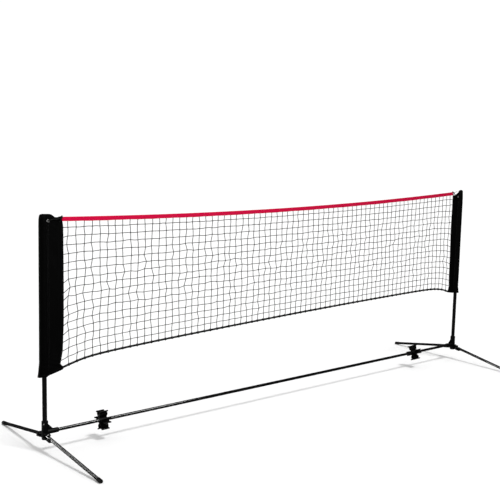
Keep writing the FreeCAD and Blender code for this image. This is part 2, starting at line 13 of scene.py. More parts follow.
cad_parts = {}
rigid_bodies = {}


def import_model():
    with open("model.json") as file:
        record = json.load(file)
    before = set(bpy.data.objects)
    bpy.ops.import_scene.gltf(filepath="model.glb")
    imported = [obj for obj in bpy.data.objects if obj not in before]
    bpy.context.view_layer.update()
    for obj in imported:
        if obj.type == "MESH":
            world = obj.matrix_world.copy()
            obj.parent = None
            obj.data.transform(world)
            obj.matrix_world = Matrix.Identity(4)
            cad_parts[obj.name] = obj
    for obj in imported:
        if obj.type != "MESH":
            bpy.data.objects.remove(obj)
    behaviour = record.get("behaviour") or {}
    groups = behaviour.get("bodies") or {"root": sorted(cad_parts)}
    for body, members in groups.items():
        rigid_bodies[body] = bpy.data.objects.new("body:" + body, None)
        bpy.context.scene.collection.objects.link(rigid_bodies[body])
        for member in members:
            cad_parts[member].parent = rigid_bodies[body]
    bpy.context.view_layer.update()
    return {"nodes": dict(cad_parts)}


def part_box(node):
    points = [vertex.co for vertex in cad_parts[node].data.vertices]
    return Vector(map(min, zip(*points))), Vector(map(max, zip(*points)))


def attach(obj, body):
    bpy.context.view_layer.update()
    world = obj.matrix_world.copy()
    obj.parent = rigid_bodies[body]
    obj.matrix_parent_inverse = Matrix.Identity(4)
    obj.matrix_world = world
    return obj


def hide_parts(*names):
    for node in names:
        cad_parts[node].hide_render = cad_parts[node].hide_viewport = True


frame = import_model()

TAU = 2 * math.pi

# ---------------------------------------------------------------- places, from the frame and the design

HUB_X = sum(corner.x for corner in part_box("lower_pole_right")) / 2
NET_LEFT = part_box("net_panel")[0].x
NET_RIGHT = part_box("net_panel")[1].x

TAPE_LEFT_Z, TAPE_MIDDLE_Z, TAPE_RIGHT_Z = 1.091, 1.070, 1.108

FIRST_COLUMN, LAST_COLUMN = -1.3732, 1.385
MESH_AT_LEFT, MESH_AT_RIGHT = 0.0426, 0.0366
CELLS_HIGH = 17
TOP_ROW_LIFT = 0.0015
TWINE_RADIUS = 0.0018
KNOT_TWINE_RADIUS, HITCH_TWINE_RADIUS = 0.00125, 0.0012
STRAND_SLACK, STRAND_BULGE = 0.035, 0.0008
WEAVE_OFFSET = 0.0004
SEWN_IN = 0.004
COLUMN_SEED, ROW_SEED = 100, 300
# neighbouring knots drift together, each is scattered a little, and a few stray farther
DRIFT_X, DRIFT_Y, DRIFT_Z = 0.0034, 0.004, 0.0024
SCATTER_X, SCATTER_Z = 0.0026, 0.0016
STRAY_X, STRAY_Z = 0.0055, 0.0034

CORD_RADIUS = 0.0052
CORD_ROUTE = [(-1.4025, 0.3933), (-1.352, 0.407), (-1.290, 0.421), (-1.205, 0.431), (-1.070, 0.439),
              (-0.820, 0.4495), (-0.440, 0.462), (0.060, 0.477), (0.560, 0.488), (0.940, 0.494),
              (1.140, 0.496), (1.255, 0.4945), (1.330, 0.487), (1.386, 0.4755), (1.421, 0.4616)]


# ---------------------------------------------------------------- material graphs

class Graph:
    """A material's node tree, written one node at a time."""

    def __init__(self, name):
        self.material = bpy.data.materials.new(name)
        self.material.use_nodes = True
        self.tree = self.material.node_tree
        self.shader = self.tree.nodes["Principled BSDF"]

    def node(self, kind, output=0, operation=None, **values):
        """Adds a node; a value that is another node's output is linked, anything else is set."""
        made = self.tree.nodes.new(kind)
        if operation:
            made.operation = operation
        for name, value in values.items():
            key = int(name[1:]) if name[1:].isdigit() else name.replace("_", " ")
            self.put(made.inputs[key], value)
        return made.outputs[output]

    def put(self, socket, value):
        if isinstance(value, bpy.types.NodeSocket):
            self.tree.links.new(value, socket)
        else:
            socket.default_value = value

    def math(self, operation, first, second=0.0):
        return self.node("ShaderNodeMath", operation=operation, i0=first, i1=second)

    def mix(self, factor, first, second):
        """A blend of two colours."""
        made = self.tree.nodes.new("ShaderNodeMix")
        made.data_type = "RGBA"
        for socket, value in ((made.inputs[0], factor), (made.inputs[6], first), (made.inputs[7], second)):
            self.put(socket, value)
        return made.outputs[2]

    def spread(self, value, low, high):
        """Maps 0..1 to low..high."""
        made = self.tree.nodes.new("ShaderNodeMapRange")
        self.put(made.inputs["Value"], value)
        made.inputs["To Min"].default_value = low
        made.inputs["To Max"].default_value = high
        return made.outputs[0]

    def noise(self, scale, detail=3.0, vector=None):
        where = vector or self.node("ShaderNodeTexCoord", output=3)
        return self.node("ShaderNodeTexNoise", Vector=where, Scale=scale, Detail=detail)

    def bump(self, height, distance, strength=1.0, under=None):
        made = self.tree.nodes.new("ShaderNodeBump")
        made.inputs["Strength"].default_value = strength
        made.inputs["Distance"].default_value = distance
        self.put(made.inputs["Height"], height)
        if under is not None:
            self.put(made.inputs["Normal"], under)
        return made.outputs[0]

    def weave_uv(self):
        """The two weave coordinates that a piece's mesh carries, in metres."""
        layer = self.tree.nodes.new("ShaderNodeUVMap")
        layer.uv_map = "weave"
        split = self.tree.nodes.new("ShaderNodeSeparateXYZ")
        self.tree.links.new(layer.outputs[0], split.inputs[0])
        return split.outputs[0], split.outputs[1]

    def wave(self, coordinate, pitch):
        """A sine of the coordinate, 0..1, once a pitch."""
        turned = self.math("MULTIPLY", coordinate, TAU / pitch)
        return self.math("ADD", self.math("MULTIPLY", self.math("SINE", turned), 0.5), 0.5)

    def finish(self, **values):
        for name, value in values.items():
            self.put(self.shader.inputs[name.replace("_", " ")], value)
        return self.material


def grey(level, tint=(1, 1, 1)):
    return (level * tint[0], level * tint[1], level * tint[2], 1)


def tube_paint():
    """Gloss black powder coat: fine orange peel, faint cloudy dulling and light scuffs."""
    g = Graph("black_powder_coat")
    cloud = g.noise(9, 4)
    scuff = g.node("ShaderNodeTexNoise", Vector=g.node("ShaderNodeTexCoord", output=3), Scale=160, Detail=6)
    peel = g.noise(900, 2)
    colour = g.mix(cloud, grey(0.0015), grey(0.006, (1, 1, 1.05)))
    colour = g.mix(g.math("POWER", scuff, 9.0), colour, grey(0.06))
    rough = g.math("ADD", g.spread(cloud, 0.07, 0.12), g.math("MULTIPLY", g.math("POWER", scuff, 6.0), 0.2))
    return g.finish(Base_Color=colour, Roughness=rough, Normal=g.bump(peel, 0.0001, 0.08),
                    Specular_IOR_Level=0.5)


def moulded_plastic():
    """Satin black moulding with a fine spark-eroded grain and slightly paler wear."""
    g = Graph("satin_moulding")
    grain = g.noise(2600, 2)
    cloud = g.noise(40, 4)
    colour = g.mix(cloud, grey(0.0010), grey(0.0036))
    return g.finish(Base_Color=colour, Roughness=g.spread(cloud, 0.40, 0.58), Specular_IOR_Level=0.09,
                    Normal=g.bump(grain, 0.00012, 0.5, g.bump(g.noise(120, 3), 0.0003, 0.2)))


def foot_rubber():
    """Matt black rubber, dusty grey where it meets the floor."""
    g = Graph("matt_rubber")
    where = g.node("ShaderNodeTexCoord", output=3)
    split = g.tree.nodes.new("ShaderNodeSeparateXYZ")
    g.put(split.inputs[0], where)
    low = g.tree.nodes.new("ShaderNodeMapRange")
    g.put(low.inputs["Value"], split.outputs[2])
    low.inputs["From Min"].default_value = 0.012
    low.inputs["From Max"].default_value = 0.0
    speck = g.noise(700, 4)
    dust = g.math("MULTIPLY", low.outputs[0], speck)
    colour = g.mix(dust, grey(0.0025), grey(0.05, (1.0, 0.96, 0.9)))
    return g.finish(Base_Color=colour, Roughness=g.spread(speck, 0.62, 0.88), Specular_IOR_Level=0.12,
                    Normal=g.bump(speck, 0.0002, 0.6))


def plated_steel():
    """Zinc-plated steel with fine drawn streaks."""
    g = Graph("zinc_plate")
    fine = g.noise(1200, 3)
    cloud = g.noise(200, 3)
    return g.finish(Base_Color=g.mix(cloud, grey(0.42), grey(0.62, (1, 0.99, 0.96))), Metallic=0.75,
                    Roughness=g.spread(fine, 0.22, 0.42), Normal=g.bump(fine, 0.00005, 0.4))


def woven(name, dark, light, pitch, rough, sheen, gloss, right_shade_tone=1.0):
    """Plain-woven cloth: over-and-under threads in relief, painted darker where they dip under, and slow
    changes of tone.

    The tone at the right end says how bright the cloth is at the net's right end, against 1 at its left
    end; below 1 it is a painted shade that darkens the cloth towards the right.
    """
    depth = 0.00025
    g = Graph(name)
    u, v = g.weave_uv()
    across = g.wave(u, pitch)
    along = g.wave(v, pitch)
    cross = g.math("MULTIPLY", g.math("SUBTRACT", across, 0.5), g.math("SUBTRACT", along, 0.5))
    relief = g.math("ADD", g.math("MULTIPLY", cross, 2.0), 0.5)
    fuzz = g.noise(1800, 2)
    tone = g.noise(14, 4)
    # painted shade: the colour follows the relief, darker where the threads dip under
    colour = g.mix(relief, dark, light)
    colour = g.mix(g.math("MULTIPLY", tone, 0.55), colour, dark)
    # painted shade: the cloth is darkened along the net towards its right end
    if right_shade_tone != 1.0:
        split = g.tree.nodes.new("ShaderNodeSeparateXYZ")
        g.put(split.inputs[0], g.node("ShaderNodeTexCoord", output=3))
        along_net = g.math("MULTIPLY", split.outputs[0], 1 / (NET_RIGHT - NET_LEFT))
        colour = g.mix(g.math("MULTIPLY", g.math("ADD", along_net, 0.5), 1 - right_shade_tone), colour, grey(0))
    rough_map = g.spread(fuzz, rough - 0.08, rough + 0.10)
    normal = g.bump(fuzz, depth / 3, 0.4, g.bump(relief, depth, 0.9))
    return g.finish(Base_Color=colour, Roughness=rough_map, Normal=normal, Specular_IOR_Level=gloss,
                    Sheen_Weight=sheen, Sheen_Roughness=0.45)


def twisted(name, dark, light, lay, turns, depth, both_ways=False, sheen=0.2):
    """Twisted or braided yarn: u is the length in metres, v the turn about it from 0 to 1."""
    rough = 0.62
    g = Graph(name)
    u, v = g.weave_uv()
    spin = g.math("MULTIPLY", v, TAU * turns)
    run = g.math("MULTIPLY", u, TAU / lay)
    ridge = g.math("ABSOLUTE", g.math("SINE", g.math("ADD", run, spin)))
    if both_ways:
        other = g.math("ABSOLUTE", g.math("SINE", g.math("SUBTRACT", run, spin)))
        ridge = g.math("MULTIPLY", ridge, other)
    fuzz = g.noise(1500, 3)
    # painted shade: the yarn is coloured darker in the grooves between its plies, lighter on the ridges,
    # with random fuzz in the tone
    colour = g.mix(g.math("MULTIPLY", ridge, g.spread(fuzz, 0.5, 1.0)), dark, light)
    normal = g.bump(fuzz, depth / 4, 0.5, g.bump(ridge, depth, 0.8))
    return g.finish(Base_Color=colour, Roughness=g.spread(fuzz, rough - 0.1, rough + 0.12), Normal=normal,
                    Specular_IOR_Level=0.15, Sheen_Weight=sheen, Sheen_Roughness=0.5)


# ---------------------------------------------------------------- meshes

def make_mesh(name, points, faces, material, weave=None):
    """An object from points, faces and, for each corner of each face, its weave coordinates."""
    mesh = bpy.data.meshes.new(name)
    mesh.from_pydata([tuple(map(float, p)) for p in points], [], [tuple(map(int, f)) for f in faces])
    mesh.materials.append(material)
    if weave is not None:
        layer = mesh.uv_layers.new(name="weave")
        layer.data.foreach_set("uv", np.asarray(weave, np.float32).ravel())
    mesh.polygons.foreach_set("use_smooth", [True] * len(mesh.polygons))
    mesh.update()
    made = bpy.data.objects.new(name, mesh)
    bpy.context.scene.collection.objects.link(made)
    return made


def dress(piece, body, slot, *stands_for):
    """A piece rides on its body and hides the solids it stands for. The slot is not used."""
    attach(piece, body)
    if stands_for:
        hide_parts(*stands_for)
    return piece


def frames_along(path):
    """Unit tangents and two unit normals along a path, without twist."""
    steps = np.gradient(path, axis=0)
    tangents = steps / np.linalg.norm(steps, axis=1)[:, None]
    first = np.array([0.0, 1.0, 0.0])
    if abs(tangents[0] @ first) > 0.9:
        first = np.array([0.0, 0.0, 1.0])
    normals = []
    normal = first
    for tangent in tangents:
        normal = normal - tangent * (normal @ tangent)
        normal = normal / np.linalg.norm(normal)
        normals.append(normal)
    normals = np.array(normals)
    return tangents, normals, np.cross(tangents, normals)


def tubes(name, paths, radius, sides, material, swell=None):
    """Round yarns along paths, as one closed mesh. swell(u, angles) scales the radius, if given."""
    points, faces, weave = [], [], []
    angles = np.arange(sides) * TAU / sides
    for path in paths:
        path = np.asarray(path, float)
        _, side, up = frames_along(path)
        lengths = np.concatenate([[0], np.cumsum(np.linalg.norm(np.diff(path, axis=0), axis=1))])
        reach = np.full((len(path), sides), radius)
        if swell is not None:
            reach = reach * swell(lengths[:, None], angles[None, :])
        rings = (path[:, None, :] + side[:, None, :] * (np.cos(angles)[None, :] * reach)[:, :, None]
                 + up[:, None, :] * (np.sin(angles)[None, :] * reach)[:, :, None])
        start = len(points)
        points.extend(rings.reshape(-1, 3))
        count = len(path)
        for i in range(count - 1):
            for k in range(sides):
                nxt = (k + 1) % sides
                a = start + i * sides
                faces.append((a + k, a + nxt, a + sides + nxt, a + sides + k))
                weave.extend([(lengths[i], k / sides), (lengths[i], (k + 1) / sides),
                              (lengths[i + 1], (k + 1) / sides), (lengths[i + 1], k / sides)])
        faces.append(tuple(start + k for k in reversed(range(sides))))
        faces.append(tuple(start + (count - 1) * sides + k for k in range(sides)))
        weave.extend([(0.0, 0.0)] * (2 * sides))
    return make_mesh(name, points, faces, material, weave)


def lofted(name, rings, material, weave_rows):
    """A skin through rings of equal length, closed at both ends.

    weave_rows holds (u, v) for each ring's points plus one.
    """
    count, sides = len(rings), len(rings[0])
    points = np.asarray(rings, float).reshape(-1, 3)
    faces, weave = [], []
    for i in range(count - 1):
        for k in range(sides):
            nxt = (k + 1) % sides
            faces.append((i * sides + k, i * sides + nxt, (i + 1) * sides + nxt, (i + 1) * sides + k))
            weave.extend([weave_rows[i][k], weave_rows[i][k + 1], weave_rows[i + 1][k + 1],
                          weave_rows[i + 1][k]])
    faces.append(tuple(reversed(range(sides))))
    faces.append(tuple((count - 1) * sides + k for k in range(sides)))
    weave.extend([weave_rows[0][0]] * sides + [weave_rows[-1][0]] * sides)
    return make_mesh(name, points, faces, material, weave)


def stitches(name, line, spacing, length, radius, material):
    """A row of short sewn stitches along a polyline, each a small closed bead lying on the cloth."""
    line = np.asarray(line, float)
    lengths = np.concatenate([[0], np.cumsum(np.linalg.norm(np.diff(line, axis=0), axis=1))])
    starts = np.arange(spacing / 2, lengths[-1] - length, spacing)
    paths = []
    for begin in starts:
        where = np.array([begin, begin + length * 0.2, begin + length * 0.8, begin + length])
        paths.append(np.stack([np.interp(where, lengths, line[:, a]) for a in range(3)], axis=1))

    def rounded(_, angles):
        return np.array([0.35, 1.0, 1.0, 0.35])[:, None] * np.ones_like(angles)

    return tubes(name, paths, radius, 5, material, rounded)


def smooth_step(value):
    value = np.clip(value, 0, 1)
    return value * value * (3 - 2 * value)


def ripple(x, z, seed):
    """A smooth repeatable wobble, about -1 to 1, from a few sines."""
    total = 0.0
    for k in range(4):
        fx, fz = 1.0 + 1.7 * k, 1.3 + 1.1 * k
        upright = np.cos(fz * z + 1.3 * k + 2 * seed)
        total = total + np.sin(fx * x + 2.1 * k + seed) * upright / (k + 1)
    return total / 1.6


# ---------------------------------------------------------------- the net's curves

def tape_z(x):
    """The tape's middle line: the circle through its two ends and the middle of its sag."""
    left, middle, right = (NET_LEFT, TAPE_LEFT_Z), (0.0, TAPE_MIDDLE_Z), (NET_RIGHT, TAPE_RIGHT_Z)
    matrix = np.array([[2 * (q[0] - left[0]), 2 * (q[1] - left[1])] for q in (middle, right)])
    sums = np.array([q[0] ** 2 + q[1] ** 2 - left[0] ** 2 - left[1] ** 2 for q in (middle, right)])
    centre_x, centre_z = np.linalg.solve(matrix, sums)
    radius = math.hypot(left[0] - centre_x, left[1] - centre_z)
    return centre_z - np.sqrt(radius ** 2 - (np.asarray(x, float) - centre_x) ** 2)


def spline_points(route, resolution=24):
    """Points along the route's own NURBS line."""
    curve = bpy.data.curves.new("route", "CURVE")
    curve.dimensions = "3D"
    curve.resolution_u = resolution
    spline = curve.splines.new("NURBS")
    spline.points.add(len(route) - 1)
    for point, place in zip(spline.points, route):
        point.co = (*place, 1)
    spline.order_u = 3
    spline.use_endpoint_u = True
    line = bpy.data.objects.new("route", curve)
    mesh = bpy.data.meshes.new_from_object(line)
    points = np.array([vertex.co[:] for vertex in mesh.vertices])
    bpy.data.objects.remove(line)
    bpy.data.meshes.remove(mesh)
    return points


CORD_LINE = spline_points([(x, 0.0, z) for x, z in CORD_ROUTE])


def cord_z(x):
    return np.interp(x, CORD_LINE[:, 0], CORD_LINE[:, 2])


def column_places():
    """The netting's upright strands. Its mesh is pulled a little wider towards the left."""
    places = [FIRST_COLUMN]
    while places[-1] < LAST_COLUMN - MESH_AT_RIGHT / 2:
        share = (places[-1] - FIRST_COLUMN) / (LAST_COLUMN - FIRST_COLUMN)
        places.append(places[-1] + MESH_AT_LEFT + (MESH_AT_RIGHT - MESH_AT_LEFT) * share)
    return places


COLUMN_X = column_places()
COLUMNS = len(COLUMN_X)
JITTER = np.random.default_rng(7).uniform(-1, 1, (COLUMNS, CELLS_HIGH + 1, 2))


def row_height(x, row):
    """The height of a row of the netting at x: row 0 is sewn in the tape, the last is on the cord."""
    top = tape_z(x) + TOP_ROW_LIFT
    share = row / CELLS_HIGH
    return top + (cord_z(x) - top) * share


def tape_wave(x):
    """How far the tape wanders out of the net's plane."""
    return 0.0012 * ripple(x * 9, 0 * x, 2.0)


def knot_place(column, row):
    """A crossing of the netting, a little off its true place, as hand-hung mesh lies."""
    x = COLUMN_X[column]
    free = math.sin(math.pi * row / CELLS_HIGH)
    draw_x, draw_z = JITTER[column, row]
    x_off = DRIFT_X * ripple(column * 0.9, row * 0.6, 1.0) * (0.35 + free)
    x_off += (SCATTER_X * draw_x + STRAY_X * draw_x ** 5) * (0.3 + free)
    z_off = DRIFT_Z * ripple(column * 0.55, row * 0.8, 4.0) * free
    z_off += (SCATTER_Z * draw_z + STRAY_Z * draw_z ** 5) * free
    y_off = DRIFT_Y * ripple(column * 0.16, row * 0.22, 7.0) * free
    y_off += float(tape_wave(np.float64(x))) * (1 - row / CELLS_HIGH) ** 6
    return np.array([x + x_off, y_off, float(row_height(x + x_off, row)) + z_off])


# ---------------------------------------------------------------- netting

def strand(places, slack, seed):
    """A twine through its knots that bows a little between them."""
    points = []
    draws = np.random.default_rng(seed).uniform(-1, 1, (len(places), 2))
    for i in range(len(places) - 1):
        a, b = places[i], places[i + 1]
        along = b - a
        side = np.array([along[2], 0, -along[0]])
        for share in (0.0, 0.25, 0.5, 0.75):
            bow = math.sin(math.pi * share)
            points.append(a + along * share + side * slack * draws[i, 0] * bow
                          + np.array([0, 1, 0]) * STRAND_BULGE * draws[i, 1] * bow)
    points.append(places[-1])
    return np.array(points)


def row_ends(row):
    """Where a row of the netting is sewn in the two sleeves: it droops towards them, most at mid height."""
    lean = 0.003 * math.sin(2.3 * row)
    droop = float(0.002 + 0.017 * smooth_step((row - 5.5) / 2.5) * (1 - 0.75 * smooth_step((row - 8) / 8)))
    left_z = float(row_height(NET_LEFT, row)) + lean - droop
    right_z = float(row_height(NET_RIGHT, row)) - lean - 0.3 * droop
    return [shape.edge_place(z, SEWN_IN) for shape, z in zip(SLEEVES, (left_z, right_z))]


def make_netting(twine):
    """The upright and level strands, which pass just in front of and behind one another, and the knots."""
    places = [[knot_place(c, r) for r in range(CELLS_HIGH + 1)] for c in range(COLUMNS)]
    offset = np.array([0, WEAVE_OFFSET, 0])
    paths = []
    for c in range(COLUMNS):
        column = [places[c][0]] + [place - offset for place in places[c][1:]]
        paths.append(strand(column, STRAND_SLACK, COLUMN_SEED + c))
    for r in range(1, CELLS_HIGH):
        row = [places[c][r] + offset for c in range(COLUMNS)]
        left_end, right_end = row_ends(r)
        paths.append(strand([left_end] + row + [right_end], STRAND_SLACK, ROW_SEED + r))
    netting = tubes("netting_twine", paths, TWINE_RADIUS, 5, twine)
    dress(netting, "net", "netting", "net_panel")

    knots = []
    turn = np.linspace(0, TAU, 9)[:-1]
    turn = np.append(turn, turn[0])
    for c in range(COLUMNS):
        for r in range(1, CELLS_HIGH):
            size = 0.0019 + 0.0003 * JITTER[c, r, 0]
            slant = 0.8 if (c + r) % 2 else -0.8
            depth, rise = np.sin(turn) * size * 0.75, np.sin(turn) * size * slant
            knots.append(places[c][r] + np.stack([np.cos(turn) * size, depth, rise], axis=1))
    tied = tubes("netting_knots", knots, KNOT_TWINE_RADIUS, 4, twine)
    dress(tied, "net", "netting")
    return [netting, tied]


def cord_swell(u, angle):
    """A plaited cord's relief: eight strands, four each way."""
    lay = 0.022
    right = np.abs(np.sin(TAU * u / lay + 2 * angle))
    left = np.abs(np.sin(TAU * u / lay - 2 * angle))
    return 0.93 + 0.09 * np.maximum(right, left)


def even_line(line, step):
    """The line's points again, evenly spaced along it."""
    lengths = np.concatenate([[0], np.cumsum(np.linalg.norm(np.diff(line, axis=0), axis=1))])
    where = np.linspace(0, lengths[-1], int(lengths[-1] / step) + 1)
    return np.stack([np.interp(where, lengths, line[:, a]) for a in range(3)], axis=1)


def make_cord(braid):
    """The braided cord along the netting's bottom edge."""
    line = even_line(CORD_LINE, 0.0025)
    cord = tubes("bottom_cord_braid", [line], CORD_RADIUS, 14, braid, cord_swell)
    dress(cord, "net", "cord", "bottom_cord")
    return cord


def make_hitches(twine):
    """Where the netting's strands are hitched round the bottom cord."""
    hitches = []
    turn = np.linspace(0, 2 * TAU, 15)
    for c in range(COLUMNS):
        x = COLUMN_X[c] + 0.002 * JITTER[c, -1, 0]
        across = (turn / (2 * TAU) - 0.5) * 0.0046
        reach = CORD_RADIUS + TWINE_RADIUS * 0.8
        height = cord_z(x + across) + np.cos(turn) * reach
        hitches.append(np.stack([x + across, np.sin(turn) * reach, height], axis=1))
    return dress(tubes("netting_hitches", hitches, HITCH_TWINE_RADIUS, 5, twine), "net", "netting")


# ---------------------------------------------------------------- top tape

TAPE_STEP = 0.006
STITCH_DROP = 0.0069
TAPE_STITCH = (0.0045, 0.0034, 0.00038)
TAPE_PROFILE = [-0.0105, -0.0088, -0.0069, -0.0050, -0.0022, 0.0011, 0.0044, 0.0068, 0.0088]
TAPE_CROWN = [(0.75, 0.0098), (0.3, 0.0104)]
TAPE_GAP = 0.0005
TAPE_MOUTH, TAPE_FOLD = -0.0103, 0.004


def tape_half_thickness(x, height):
    """Half the folded tape's thickness: full over the netting's top row, pinched at the stitching."""
    pinch = 0.0004 * np.exp(-((height + STITCH_DROP) / 0.0016) ** 2)
    pucker = 0.00012 * np.sin(TAU * x / 0.0045) * np.exp(-((height + STITCH_DROP) / 0.004) ** 2)
    return 0.0026 + 0.0003 * np.exp(-((height - 0.004) / 0.0035) ** 2) - pinch + pucker


def make_tape(cloth, thread):
    """The tape folded over the netting's top edge, with a row of stitches along each face."""
    rings, rows = [], []
    for x in np.arange(NET_LEFT, NET_RIGHT + TAPE_STEP / 2, TAPE_STEP):
        middle = float(tape_z(x))
        drift = float(tape_wave(np.float64(x)))
        edge = 0.0003 * math.sin(x * 71) + 0.0004 * math.sin(x * 23 + 1)
        front = [(-float(tape_half_thickness(x, h)), h + (edge if h < -0.01 else 0)) for h in TAPE_PROFILE]
        top_half = float(tape_half_thickness(x, TAPE_PROFILE[-1]))
        over = [(-top_half * s, h) for s, h in TAPE_CROWN]
        over += [(top_half * s, h) for s, h in reversed(TAPE_CROWN)]
        back = [(-y, h) for y, h in reversed(front)]
        mouth = TAPE_MOUTH + edge
        inside = [(TAPE_GAP, mouth), (TAPE_GAP, TAPE_FOLD), (-TAPE_GAP, TAPE_FOLD), (-TAPE_GAP, mouth)]
        ring = front + over + back + inside
        rings.append([(x, drift + y, middle + h) for y, h in ring])
        around = [0.0]
        for (y0, h0), (y1, h1) in zip(ring, ring[1:] + ring[:1]):
            around.append(around[-1] + math.hypot(y1 - y0, h1 - h0))
        rows.append([(x, a) for a in around])
    tape = dress(lofted("red_tape", rings, cloth, rows), "net", "tape_fabric", "top_tape")

    sewing = []
    for face, sign in (("front", -1), ("rear", 1)):
        xs = np.arange(NET_LEFT + 0.004, NET_RIGHT - 0.004, 0.003)
        depth = tape_half_thickness(xs, -STITCH_DROP) + 0.0001
        line = np.stack([xs, tape_wave(xs) + sign * depth, tape_z(xs) - STITCH_DROP], axis=1)
        row = stitches(f"tape_stitches_{face}", line, *TAPE_STITCH, thread)
        sewing.append(dress(row, "net", "tape_fabric"))
    return tape, sewing


# ---------------------------------------------------------------- sleeves

CLOTH = 0.0008
FLAP_HALF = 0.0014
SEAM_AT = 0.0188
FLAP_STATIONS, WEB_STATIONS, ARC_STATIONS = 14, 3, 16
HEM_DEPTH, HEM_FOLD, HEM_PINCH = 0.012, 0.00045, 0.0003
CROWN_DEPTH = 0.0135
ROW_STEP = 0.005
HEM_ROWS = (0.0008, 0.0016, 0.0106, 0.0114, 0.0122, 0.013, 0.0139)
CROWN_ROWS = (0.0005, 0.0012, 0.0022, 0.0036, 0.0078, 0.0105, 0.0125)
INNER_TOP = 0.9975
THINNEST, CLOSED_HALF = 2e-4, 1.5e-4
MAST_STARTS, OUTBOARD_BLEND = 0.004, 0.014
SLEEVE_STITCH = (0.0042, 0.0031, 0.00036)
STITCH_LIFT = 0.00012
PIPING_RADIUS = 0.0013
EYELET_HOLE, PUNCH_REACH = 0.0044, 0.012


class Sleeve:
    """The cloth shape of one sleeve. s is the distance from the pole's axis towards the net.

    bottom and top are the heights of the hem and of the top seam, by s. edge, radius and outward are the
    flap's width, the channel's radius and its flare away from the net, by height. stretch widens the side
    away from the net, and shrink draws the crown in.
    """

    def __init__(self, side, inward, bottom, top, edge, radius, stretch, shrink, outward, seed):
        self.side = side
        self.inward = inward
        self.pole_x = -inward * HUB_X
        self.bottom, self.top, self.edge, self.radius = bottom, top, edge, radius
        self.stretch, self.shrink, self.outward = stretch, shrink, outward
        self.seed = seed

    @staticmethod
    def along(knots, at):
        """A value between knots, in straight lines from one to the next."""
        where, value = zip(*knots)
        return np.interp(at, where, value)

    def edge_place(self, z, inside):
        """A point within the flap, a little way in from its edge."""
        return np.array([self.pole_x + self.inward * (self.along(self.edge, z) - inside), 0.0, z])

    def stations(self):
        """Shares of the front outline, from the flap's edge (0) round to the outboard side (3)."""
        flap = np.linspace(0, 1, FLAP_STATIONS, endpoint=False)
        web = np.linspace(1, 2, WEB_STATIONS, endpoint=False)
        arc = np.linspace(2, 3, ARC_STATIONS)
        return np.concatenate([flap, web, arc])

    def point(self, station, height, face, inset=0.0, lift=0.0):
        """Points of the cloth. height is 0 at the hem and 1 at the top seam; face is -1 front, 1 rear.

        inset moves a point into the cloth's thickness, lift moves it off its face.
        """
        station, height = np.broadcast_arrays(np.asarray(station, float), np.asarray(height, float))
        depth = inset - lift
        s = self.nominal_s(station, 0.9)
        low, high = self.along(self.bottom, s), self.along(self.top, s)
        z = low + (high - low) * height
        for _ in range(2):
            s = self.nominal_s(station, z)
            low, high = self.along(self.bottom, s), self.along(self.top, s)
            z = low + (high - low) * height
        radius = self.along(self.radius, z)
        meet = np.arccos(radius / SEAM_AT)
        turn = meet + (math.pi - meet) * (station - 2)
        tangent_y = radius * np.sin(meet)
        half = np.where(station < 1, FLAP_HALF, FLAP_HALF + (tangent_y - FLAP_HALF) * (station - 1))
        half = np.where(station > 2, radius * np.sin(np.clip(turn, 0, math.pi)), half)
        half = half + self.wrinkle(s, z, station, face) + self.hem(z - low)
        on_arc = np.maximum(half - depth * np.sin(turn), 0)
        across = np.where(station > 2, on_arc, np.maximum(half - depth, THINNEST))
        s = s - np.where(station > 2, depth * np.cos(turn), 0)
        s = s - np.where(station < 1e-9, depth, 0)
        flare = self.along(self.outward, z) * smooth_step(-s / OUTBOARD_BLEND)
        s = np.where(s < 0, s * self.stretch, s) - flare
        close = self.closing(z, high)
        across = across * close + CLOSED_HALF
        drawn_in = self.shrink + (1 - self.shrink) * close
        s = np.where(s < MAST_STARTS, MAST_STARTS + (s - MAST_STARTS) * drawn_in, s)
        y = face * across + self.drift(s, z)
        return np.stack([self.pole_x + self.inward * s, y, z], axis=-1)

    def nominal_s(self, station, z):
        """The distance towards the net of a station at a height."""
        edge = self.along(self.edge, z)
        radius = self.along(self.radius, z)
        meet = np.arccos(radius / SEAM_AT)
        tangent = radius * np.cos(meet)
        turn = meet + (math.pi - meet) * (station - 2)
        flap = edge + (SEAM_AT - edge) * station
        web = SEAM_AT + (tangent - SEAM_AT) * (station - 1)
        return np.where(station < 1, flap, np.where(station < 2, web, radius * np.cos(turn)))

    def closing(self, z, high):
        """1 on the body, falling to 0 in a round crown at the top seam."""
        reach = np.clip((z - (high - CROWN_DEPTH)) / CROWN_DEPTH, 0, 1)
        return np.sqrt(np.clip(1 - reach ** 2.4, 0, 1))

    def hem(self, above):
        """The hem's second thickness, with its pinch along the stitching."""
        fold = HEM_FOLD * smooth_step((HEM_DEPTH - above) / 0.0012)
        return fold - HEM_PINCH * np.exp(-((above - HEM_DEPTH + 0.002) / 0.0009) ** 2)

    def drift(self, s, z):
        """How far the flap hangs out of the net's plane."""
        share = np.clip((s - SEAM_AT) / 0.07, 0, 1)
        calm = 1 - smooth_step((z - 1.03) / 0.02)
        belly = np.sin(math.pi * share)
        wave = ripple(s * 20 + 3 * z, z * 9, self.seed)
        return (0.0034 * belly * wave + 0.0006 * share * ripple(0 * s, z * 14, self.seed + 2)) * calm

    def wrinkle(self, s, z, station, face):
        """Small folds in one face: along the pole, slanting from the ties, and gathered near the hem."""
        upright = 0.00042 * ripple(s * 260 + 4 * z, z * 6, self.seed + face)
        pulled = 0.0004 * np.sin((s * 0.9 + z) * 210 + self.seed) * np.exp(-((z - 1.05) / 0.035) ** 2)
        low = self.along(self.bottom, s)
        near_hem = np.exp(-((z - low - 0.045) / 0.03) ** 2)
        gathered = 0.00075 * np.sin((z + 0.25 * s) * TAU / 0.021 + face) * near_hem
        away = np.clip(np.abs(station - 1) * 3, 0, 1)
        quiet = 1 - np.exp(-((s - EYELET_IN) ** 2 + (z - EYELET_Z) ** 2) / 0.011 ** 2)
        return (np.clip(upright, -0.0003, 0.0006) + pulled + gathered) * away * quiet

